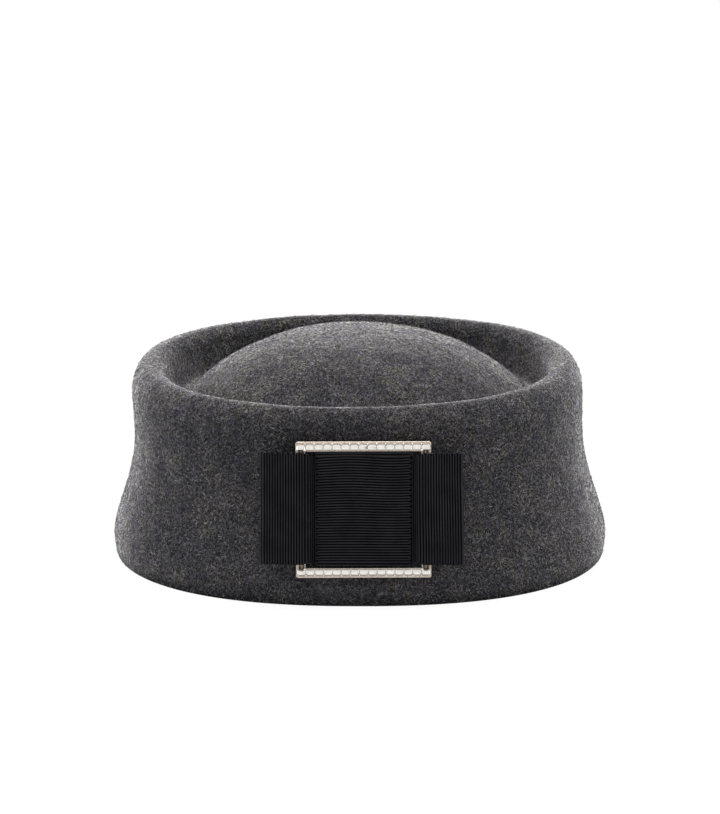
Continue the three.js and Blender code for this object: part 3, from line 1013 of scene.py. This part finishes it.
def make_band():
    """The band round the waist, with ribs that run across it."""
    half_out = RIBBON + GAP + RIBBON / 2
    outline = rounded_rectangle(BAND_HALF_UP, half_out, BAND_ROUNDING, corner_steps=8, side_steps=30)
    line, run, length = closed_run(outline)
    ribs = run / length * 2 * round(length / RIB_PITCH / 2)
    inner, outer, crest = woven_skins(line, ribs, BAND_WIDTH / 2, BAND_ROWS, BAND_SCALLOP)
    for skin in (inner, outer):
        across, up, out = np.moveaxis(skin.copy(), -1, 0)
        rise = np.clip((up + BAND_HALF_UP) / (2 * BAND_HALF_UP), 0, 1)
        front = np.clip(out / half_out, 0, 1)
        turns = (across + BAND_WAVE_START) / BAND_WAVE_LENGTH
        wave = BAND_WAVE * rise * front * np.cos(2 * math.pi * turns)
        from_edge = across + BAND_WIDTH / 2
        hook = -BAND_HOOK * np.clip(1 - from_edge / BAND_HOOK_WIDTH, 0, 1) ** 2 * front
        ends = np.clip((BAND_HALF_UP - np.abs(up)) / BAND_END, 0, 1)
        skin[..., 1] = up + (wave + hook) * ends + BAND_LIFT
        skin[..., 2] = out + WAIST
    return ribbon_solid("ribbon_band", outer, inner, crest), length


# Buckle


def make_channel():
    """The buckle's square frame, open at the front for its stones."""
    rings = []
    for distance, out in CHANNEL:
        radius = OPENING_ROUNDING + ROUNDING_GROWTH * distance / BUCKLE_BAR
        half = OPENING + distance
        outline = rounded_rectangle(half, half, radius, corner_steps=6, side_steps=14)
        rings.append(at_height(outline, out))
    grid = np.array(rings)
    faces = grid_faces(len(grid), grid.shape[1], close_rows=True)
    piece = mesh_object("buckle_channel", grid.reshape(-1, 3), faces)
    # Marks the floor of the channel, which the material makes darker
    channel_floor_dark = np.array([out == CHANNEL_FLOOR for distance, out in CHANNEL])
    add_attribute(piece, "channel_floor_dark", np.repeat(channel_floor_dark, grid.shape[1]))
    return piece


def directions(angle):
    """Direction outwards at an angle round the buckle, and the direction along the bar there."""
    outward = np.array([math.cos(angle), math.sin(angle), 0])
    return outward, np.array([-outward[1], outward[0], 0])


def bars():
    """Directions along and outwards of each bar, and the count and whole length of its stones.

    The upper and lower bars take the corner stones.
    """
    for quarter in range(4):
        outward, along = directions(quarter * math.pi / 2)
        if quarter % 2 == 0:
            yield along, outward, STONES_BETWEEN, STONES_BETWEEN * STONE_PITCH
        else:
            yield along, outward, STONES_ON_A_SIDE, BUCKLE_SIDE - 2 * CORNER_RAIL


def claw(centre, along, outward, size):
    """A small half-round grain of metal, wide along the bar and low at its foot."""
    points = []
    for radius, height in CLAW_LEVELS:
        for k in range(CLAW_SIDES):
            angle = 2 * math.pi * k / CLAW_SIDES
            sideways = along * size[0] * radius * math.cos(angle)
            offset = sideways + outward * size[1] * radius * math.sin(angle)
            points.append(centre + offset + np.array([0, 0, size[2] * height]))
    points.extend(centre + np.array([0, 0, size[2] * height]) for height in (1, CLAW_FOOT))
    return np.array(points)


def claw_faces():
    """Triangles of one claw."""
    faces = []
    rows = [[level * CLAW_SIDES + k for k in range(CLAW_SIDES)] for level in range(len(CLAW_LEVELS))]
    top, bottom = len(rows) * CLAW_SIDES, len(rows) * CLAW_SIDES + 1
    for k in range(CLAW_SIDES):
        following = (k + 1) % CLAW_SIDES
        for lower, upper in zip(rows[:-1], rows[1:]):
            faces.append((lower[k], upper[following], lower[following]))
            faces.append((lower[k], upper[k], upper[following]))
        faces.append((rows[-1][following], rows[-1][k], top))
        faces.append((rows[0][k], rows[0][following], bottom))
    return np.array(faces)


def make_claws():
    """Claws at every joint between two stones, large on the outer rail and small on the inner one."""
    outer = BUCKLE_SIDE / 2 - OUTER_RAIL + OUTER_CLAW_INSET
    inner = OPENING + INNER_RAIL - INNER_CLAW_INSET
    places = []
    for along, outward, count, length in bars():
        for joint in range(1, count):
            place = (joint / count - 0.5) * length
            places.append((along, outward, place, outer, OUTER_CLAW))
            if abs(place) < OPENING:
                places.append((along, outward, place, inner, INNER_CLAW))
    corner = (OPENING + INNER_RAIL / 2) * math.sqrt(2)
    for quarter in range(4):
        outward, along = directions((quarter + 0.5) * math.pi / 2)
        places.append((along, outward, 0.0, corner, CORNER_CLAW))
    claws = []
    for along, outward, place, distance, size in places:
        centre = along * place + outward * distance + np.array([0, 0, CLAW_OUT])
        claws.append(claw(centre, along, outward, size))
    starts = np.arange(len(claws))[:, None, None] * len(claws[0])
    return mesh_object("buckle_claws", np.concatenate(claws), (claw_faces() + starts).reshape(-1, 3))


def stone_outline(half_long, half_cross, outer_cut, inner_cut):
    """Eight corners of a stone seen from the front, counter-clockwise, with its outer side towards +."""
    return np.array([
        (half_long, -half_cross + inner_cut), (half_long, half_cross - outer_cut),
        (half_long - outer_cut, half_cross), (-half_long + outer_cut, half_cross),
        (-half_long, half_cross - outer_cut), (-half_long, -half_cross + inner_cut),
        (-half_long + inner_cut, -half_cross), (half_long - inner_cut, -half_cross),
    ])


def make_stones():
    """Stones side by side in the channel, each seated a little differently."""
    random = np.random.default_rng(STONE_SEED)
    middle = OPENING + INNER_RAIL + STONE_MARGIN + STONE_CROSS / 2
    stones = []
    for along, outward, count, length in bars():
        for number in range(count):
            place = ((number + 0.5) / count - 0.5) * length
            tilt = random.normal(0, STONE_TILT, 2)
            rows = []
            for share, out in STONE_LEVELS:
                sizes = np.array([STONE_LONG / 2, STONE_CROSS / 2, OUTER_CUT, INNER_CUT]) * share
                rows.append(at_height(stone_outline(*sizes), out))
            rows.append(np.array([(0.0, random.uniform(*APEX_PLACES), STONE_TOP)]))
            stone = np.concatenate(rows)
            lean = stone[:, :2] @ tilt
            flat = (place + stone[:, :1]) * along + (middle + stone[:, 1:2]) * outward
            stones.append(flat + np.array([0, 0, 1]) * (stone[:, 2] + lean)[:, None])
    piece = mesh_object("stones", np.concatenate(stones), stone_faces(len(stones)), smooth=False)
    close_stones(piece, len(stones))
    return piece


def stone_faces(count):
    """Side facets of every stone. Its top and its point are closed later."""
    pattern = grid_faces(len(STONE_LEVELS), STONE_CORNERS)
    return (np.arange(count)[:, None, None] * STONE_POINTS + pattern).reshape(-1, 4)


def close_stones(piece, count):
    """Closes each stone with a fan of facets at the top and one facet at its point."""
    work = bmesh.new()
    work.from_mesh(piece.data)
    work.verts.ensure_lookup_table()
    for stone in range(count):
        points = work.verts[stone * STONE_POINTS:(stone + 1) * STONE_POINTS]
        top, apex = points[-1 - STONE_CORNERS:-1], points[-1]
        for a, b in zip(top, top[1:] + top[:1]):
            work.faces.new((a, b, apex))
        work.faces.new(points[:STONE_CORNERS])
    bmesh.ops.recalc_face_normals(work, faces=work.faces)
    work.to_mesh(piece.data)
    work.free()


# Stage


def make_camera():
    camera = bpy.data.cameras.new("camera")
    camera.lens = CAMERA_LENS
    camera.sensor_width = CAMERA_SENSOR
    camera.clip_start, camera.clip_end = CAMERA_CLIP
    holder = placed("camera", camera)
    elevation = math.radians(CAMERA_ELEVATION)
    back = Vector((0, -math.cos(elevation), math.sin(elevation)))
    holder.location = CAMERA_AIM + CAMERA_DISTANCE * back
    holder.rotation_euler = (math.pi / 2 - elevation, 0, 0)
    bpy.context.scene.camera = holder


def add_sun(name, azimuth, elevation, strength, spread, colour):
    """A soft light from far away."""
    light = bpy.data.lights.new(name, "SUN")
    light.energy = strength
    light.color = colour
    light.angle = math.radians(spread)
    holder = placed(name, light)
    a, e = math.radians(azimuth), math.radians(elevation)
    towards = Vector((math.sin(a) * math.cos(e), -math.cos(a) * math.cos(e), math.sin(e)))
    holder.rotation_mode = "QUATERNION"
    holder.rotation_quaternion = towards.to_track_quat("Z", "Y")


def make_stage():
    world = bpy.data.worlds.new("studio")
    world.use_nodes = True
    background = world.node_tree.nodes["Background"]
    background.inputs["Color"].default_value = (1, 1, 1, 1)
    background.inputs["Strength"].default_value = WORLD_LIGHT
    bpy.context.scene.world = world
    for row in LIGHTS:
        add_sun(*row)
    corners = FLOOR_HALF_SIDE * np.array([(-1, -1, 0), (1, -1, 0), (1, 1, 0), (-1, 1, 0)])
    floor = mesh_object("floor", corners, [(0, 1, 2, 3)])
    floor.data.materials.append(floor_material())
    bpy.context.scene.view_settings.view_transform = "Standard"


# Assembly


def dress(piece, material):
    """Gives a new piece its material and the body that it rides on."""
    piece.data.materials.append(material)
    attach(piece, "root")


def bow_matrix():
    """Where the plane of the bow lies, read from the box of the leaning buckle."""
    low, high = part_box("buckle_frame")
    size = (high - low) / MM
    squares = BUCKLE_SIDE**2 - BUCKLE_DEPTH**2
    lean = math.asin((size.y * BUCKLE_SIDE - size.z * BUCKLE_DEPTH) / squares)
    middle = (low + high) / 2
    out = (BARS_BACK + BUCKLE_DEPTH / 2) * MM
    origin = middle + Vector((0, out * math.cos(lean), -out * math.sin(lean)))
    return Matrix.Translation(origin) @ Matrix.Rotation(math.pi / 2 - lean, 4, "X")


make_camera()
make_stage()

felt_low, felt_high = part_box("felt_body")
shift_y = (felt_low.y + felt_high.y) / 2 / MM
outer_skin, inner_skin = felt_skins(shift_y)
felt = make_felt(outer_skin, inner_skin)
dress(felt, felt_material())
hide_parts("felt_body")

wool = fibre_material()
for number in range(FIBRE_PIECES):
    fibres = make_fibres(f"felt_fibres_{number + 1}", outer_skin, FIBRES, FIBRE_SEED + number)
    dress(fibres, wool)

plane = bow_matrix()
turned = plane @ Matrix.Rotation(BUCKLE_TURN, 4, "Z") @ Matrix.Diagonal((BUCKLE_NARROWING, 1, 1, 1))
loops, loops_length = make_loops()
band, band_length = make_band()
channel = make_channel()
claws = make_claws()
stones = make_stones()
for piece in (loops, band):
    piece.data.transform(plane)
for piece in (channel, claws, stones):
    piece.data.transform(turned)

dress(loops, ribbon_material("grosgrain_loops", 2))
dress(band, ribbon_material("grosgrain_band", 0))
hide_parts("bow_loops")
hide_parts("bow_band")

dress(channel, metal_material("satin_plating", *SATIN))
dress(claws, metal_material("bright_plating", *BRIGHT))
dress(stones, stone_material())
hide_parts("buckle_frame")
